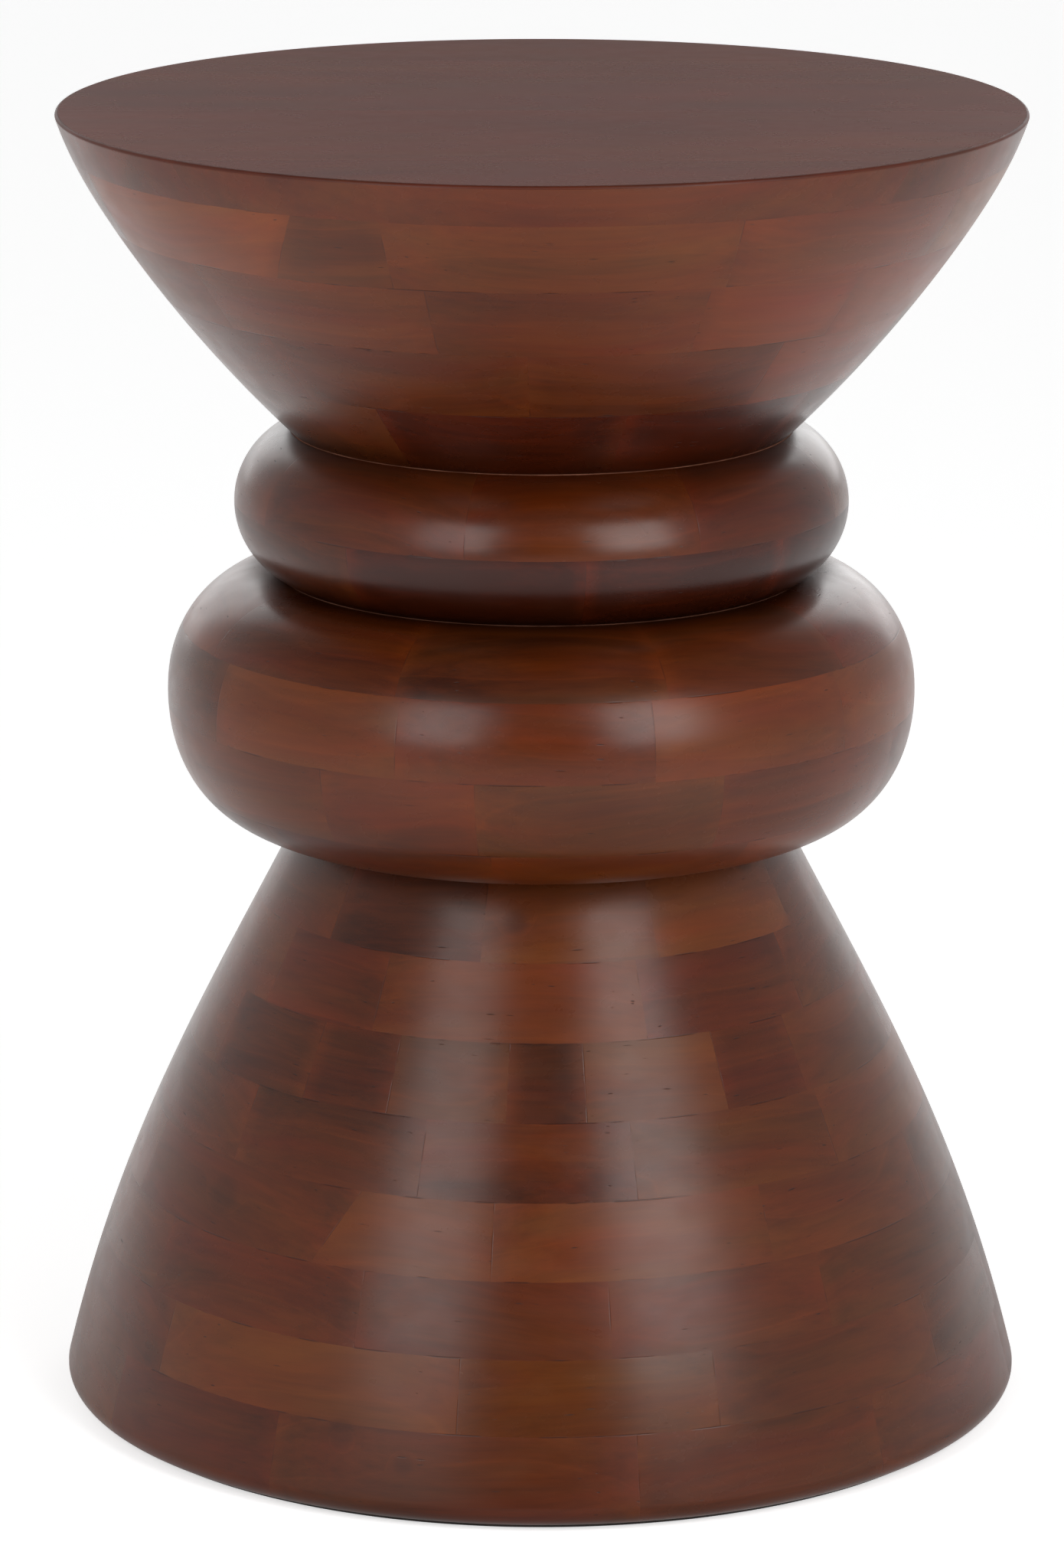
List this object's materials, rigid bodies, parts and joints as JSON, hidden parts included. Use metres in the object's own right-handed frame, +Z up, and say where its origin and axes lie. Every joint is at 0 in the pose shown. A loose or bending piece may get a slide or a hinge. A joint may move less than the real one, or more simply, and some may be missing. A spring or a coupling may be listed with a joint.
{
  "type": "accent table",
  "caption": "Round hourglass accent table turned from laminated wood: flat top on an inverted cone, stacked rings and a flared base.",
  "frame": {"origin": "on the floor, under the centre of the table", "axes": "+Z up along the turning axis, -Y towards the side that the picture shows"},
  "size_m": [0.3751, 0.3752, 0.508],
  "materials": {
    "lacquered_wood": "dark reddish-brown stain under satin clear lacquer",
    "dowel_wood": "bare fluted beech",
    "felt": "dark pressed felt"
  },
  "bodies": {
    "root": {"foot_pad": "felt", "base_course_1": "lacquered_wood", "base_course_2": "lacquered_wood", "base_course_3": "lacquered_wood", "base_course_4": "lacquered_wood", "base_course_5": "lacquered_wood", "base_course_6": "lacquered_wood", "base_course_7": "lacquered_wood", "base_course_8": "lacquered_wood", "base_dowels": "dowel_wood", "lower_ring_course_1": "lacquered_wood", "lower_ring_course_2": "lacquered_wood", "lower_ring_course_3": "lacquered_wood", "lower_ring_course_4": "lacquered_wood", "ring_dowels": "dowel_wood", "upper_ring_course_1": "lacquered_wood", "upper_ring_course_2": "lacquered_wood", "bowl_dowels": "dowel_wood", "bowl_course_1": "lacquered_wood", "bowl_course_2": "lacquered_wood", "bowl_course_3": "lacquered_wood", "bowl_course_4": "lacquered_wood", "top_board": "lacquered_wood"}
  },
  "joints": []
}
